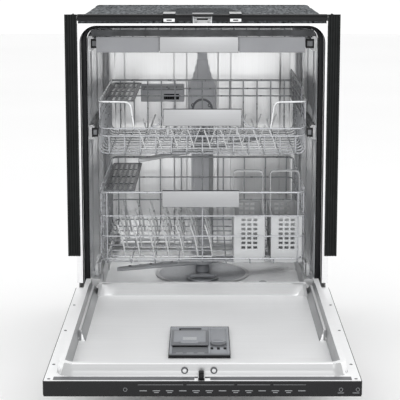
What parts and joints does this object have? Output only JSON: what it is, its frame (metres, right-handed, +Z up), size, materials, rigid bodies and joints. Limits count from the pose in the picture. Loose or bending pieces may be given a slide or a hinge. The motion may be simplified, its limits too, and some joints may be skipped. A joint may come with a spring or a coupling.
{
  "type": "built-in dishwasher",
  "caption": "Built-in dishwasher with a drop-down door, steel tub, three sliding racks on telescopic rails, spray arms, folding cup shelves, cutlery baskets and a detergent dispenser.",
  "frame": {"origin": "on the floor under the middle of the whole object, the lowered door included", "axes": "+X to the user's right, +Y towards the back wall, +Z up"},
  "size_m": [0.64, 1.27, 0.86],
  "materials": {
    "liner_steel": "satin brushed stainless",
    "zinc_steel": "galvanised sheet",
    "felt": "grey flecked felt",
    "gasket_rubber": "matt",
    "trim_rubber": "matt, ribbed",
    "black_plastic": "fine texture",
    "outer_paint": "satin black",
    "control_gloss": "polished black",
    "grey_plastic": "moulded",
    "light_plastic": "moulded",
    "dark_plastic": "moulded",
    "rack_wire": "nylon-coated",
    "handle_metal": "satin",
    "filter_mesh": "etched mesh"
  },
  "bodies": {
    "cabinet": {"tub": "liner_steel", "sound_blanket": "felt", "door_gasket": "gasket_rubber", "side_trim_left": "trim_rubber", "side_trim_right": "trim_rubber", "top_trim": "black_plastic", "counter_brackets": "zinc_steel", "door_strike": "zinc_steel", "base_pan": "zinc_steel", "frame_left": "zinc_steel", "frame_right": "zinc_steel", "levelling_feet": "black_plastic", "toe_kick": "outer_paint", "toe_kick_screws": "zinc_steel", "sump": "dark_plastic", "filter_plate": "filter_mesh", "circulation_pump": "dark_plastic", "drain_pump": "dark_plastic", "drain_outlet": "black_plastic", "inlet_valve": "light_plastic", "junction_box": "zinc_steel", "float_switch": "grey_plastic", "feed_duct": "grey_plastic", "ceiling_nozzle": "grey_plastic", "middle_rails": "liner_steel", "top_rails": "liner_steel", "vent_cover": "grey_plastic"},
    "filter": {"filter_cylinder": "filter_mesh"},
    "middle_slider": {"middle_rail_sliders": "zinc_steel"},
    "top_slider": {"top_rail_sliders": "zinc_steel"},
    "door": {"door_liner": "liner_steel", "door_outer_panel": "outer_paint", "door_insulation": "felt", "control_panel": "control_gloss", "latch_housing": "black_plastic", "dispenser_housing": "grey_plastic", "hinge_arms": "zinc_steel", "liner_plugs": "black_plastic", "liner_screws": "zinc_steel"},
    "latch": {"latch_hook": "black_plastic"},
    "detergent_lid": {"dispenser_lid": "dark_plastic"},
    "rinse_cap": {"rinse_aid_cap": "dark_plastic"},
    "upper_tray": {"top_tray": "rack_wire", "top_tray_handle": "handle_metal", "top_tray_wings": "dark_plastic"},
    "middle_basket": {"middle_rack": "rack_wire", "middle_rack_handle": "handle_metal", "middle_spray_feed": "light_plastic"},
    "middle_spray": {"middle_spray_arm": "light_plastic"},
    "left_shelf": {"cup_shelf_left": "dark_plastic"},
    "right_shelf": {"cup_shelf_right": "grey_plastic"},
    "lower_basket": {"lower_rack": "rack_wire", "lower_rack_handle": "handle_metal"},
    "lower_shelf": {"lower_cup_shelf": "dark_plastic"},
    "front_tines": {"folding_tines": "rack_wire"},
    "cutlery_left": {"cutlery_basket_left": "light_plastic"},
    "cutlery_right": {"cutlery_basket_right": "light_plastic"},
    "front_wheels": {"rollers_front": "light_plastic"},
    "rear_wheels": {"rollers_rear": "light_plastic"},
    "lower_spray": {"lower_spray_arm": "grey_plastic"}
  },
  "joints": [
    {"name": "door_hinge", "type": "hinge", "parent": "cabinet", "child": "door", "pos_m": [0, 0.029, 0.191], "axis": [-1, 0, 0], "range_deg": [0, 90]},
    {"name": "latch_swing", "type": "hinge", "parent": "door", "child": "latch", "pos_m": [-0.002, -0.622, 0.2092], "axis": [-1, 0, 0], "range_deg": [0, 8], "stiffness_Nm_per_rad": 0.3},
    {"name": "lid_slide", "type": "slide", "parent": "door", "child": "detergent_lid", "axis": [0, -1, 0], "range_m": [0, 0.05]},
    {"name": "cap_turn", "type": "hinge", "parent": "door", "child": "rinse_cap", "pos_m": [0.033, -0.38, 0.203], "axis": [0, 0, 1], "range_deg": [0, 90]},
    {"name": "top_tray_slide", "type": "slide", "parent": "cabinet", "child": "upper_tray", "axis": [0, 1, 0], "range_m": [-0.45, 0]},
    {"name": "top_slider_travel", "type": "slide", "parent": "cabinet", "child": "top_slider", "axis": [0, 1, 0], "range_m": [-0.225, 0]},
    {"name": "middle_rack_slide", "type": "slide", "parent": "cabinet", "child": "middle_basket", "axis": [0, 1, 0], "range_m": [-0.45, 0]},
    {"name": "middle_slider_travel", "type": "slide", "parent": "cabinet", "child": "middle_slider", "axis": [0, 1, 0], "range_m": [-0.225, 0]},
    {"name": "lower_rack_slide", "type": "slide", "parent": "cabinet", "child": "lower_basket", "axis": [0, 1, 0], "range_m": [-0.44, 0]},
    {"name": "front_wheel_roll", "type": "hinge", "parent": "lower_basket", "child": "front_wheels", "pos_m": [0, 0.122, 0.232], "axis": [1, 0, 0], "continuous": true},
    {"name": "rear_wheel_roll", "type": "hinge", "parent": "lower_basket", "child": "rear_wheels", "pos_m": [0, 0.5, 0.232], "axis": [1, 0, 0], "continuous": true},
    {"name": "middle_spray_spin", "type": "hinge", "parent": "middle_basket", "child": "middle_spray", "pos_m": [0, 0.335, 0.498], "axis": [0, 0, 1], "continuous": true},
    {"name": "lower_spray_spin", "type": "hinge", "parent": "cabinet", "child": "lower_spray", "pos_m": [0, 0.335, 0.2], "axis": [0, 0, 1], "continuous": true},
    {"name": "left_shelf_fold", "type": "hinge", "parent": "middle_basket", "child": "left_shelf", "pos_m": [-0.24, 0.35, 0.642], "axis": [0, -1, 0], "range_deg": [0, 80]},
    {"name": "right_shelf_fold", "type": "hinge", "parent": "middle_basket", "child": "right_shelf", "pos_m": [0.24, 0.35, 0.606], "axis": [0, -1, 0], "range_deg": [0, 80]},
    {"name": "lower_shelf_fold", "type": "hinge", "parent": "lower_basket", "child": "lower_shelf", "pos_m": [-0.24, 0.35, 0.421], "axis": [0, -1, 0], "range_deg": [0, 80]},
    {"name": "tines_fold", "type": "hinge", "parent": "lower_basket", "child": "front_tines", "pos_m": [-0.087, 0.175, 0.2506], "axis": [-1, 0, 0], "range_deg": [0, 80]},
    {"name": "cutlery_left_lift", "type": "slide", "parent": "lower_basket", "child": "cutlery_left", "axis": [0, 0, 1], "range_m": [0, 0.02]},
    {"name": "cutlery_right_lift", "type": "slide", "parent": "lower_basket", "child": "cutlery_right", "axis": [0, 0, 1], "range_m": [0, 0.02]},
    {"name": "filter_twist", "type": "hinge", "parent": "cabinet", "child": "filter", "pos_m": [0, 0.26, 0.12], "axis": [0, 0, 1], "range_deg": [0, 90]}
  ],
  "couplings": [
    {"joint": "top_slider_travel", "follows": "top_tray_slide", "ratio": 0.5},
    {"joint": "middle_slider_travel", "follows": "middle_rack_slide", "ratio": 0.5},
    {"joint": "front_wheel_roll", "follows": "lower_rack_slide", "rad_per_m": -62.5},
    {"joint": "rear_wheel_roll", "follows": "lower_rack_slide", "rad_per_m": -62.5}
  ]
}
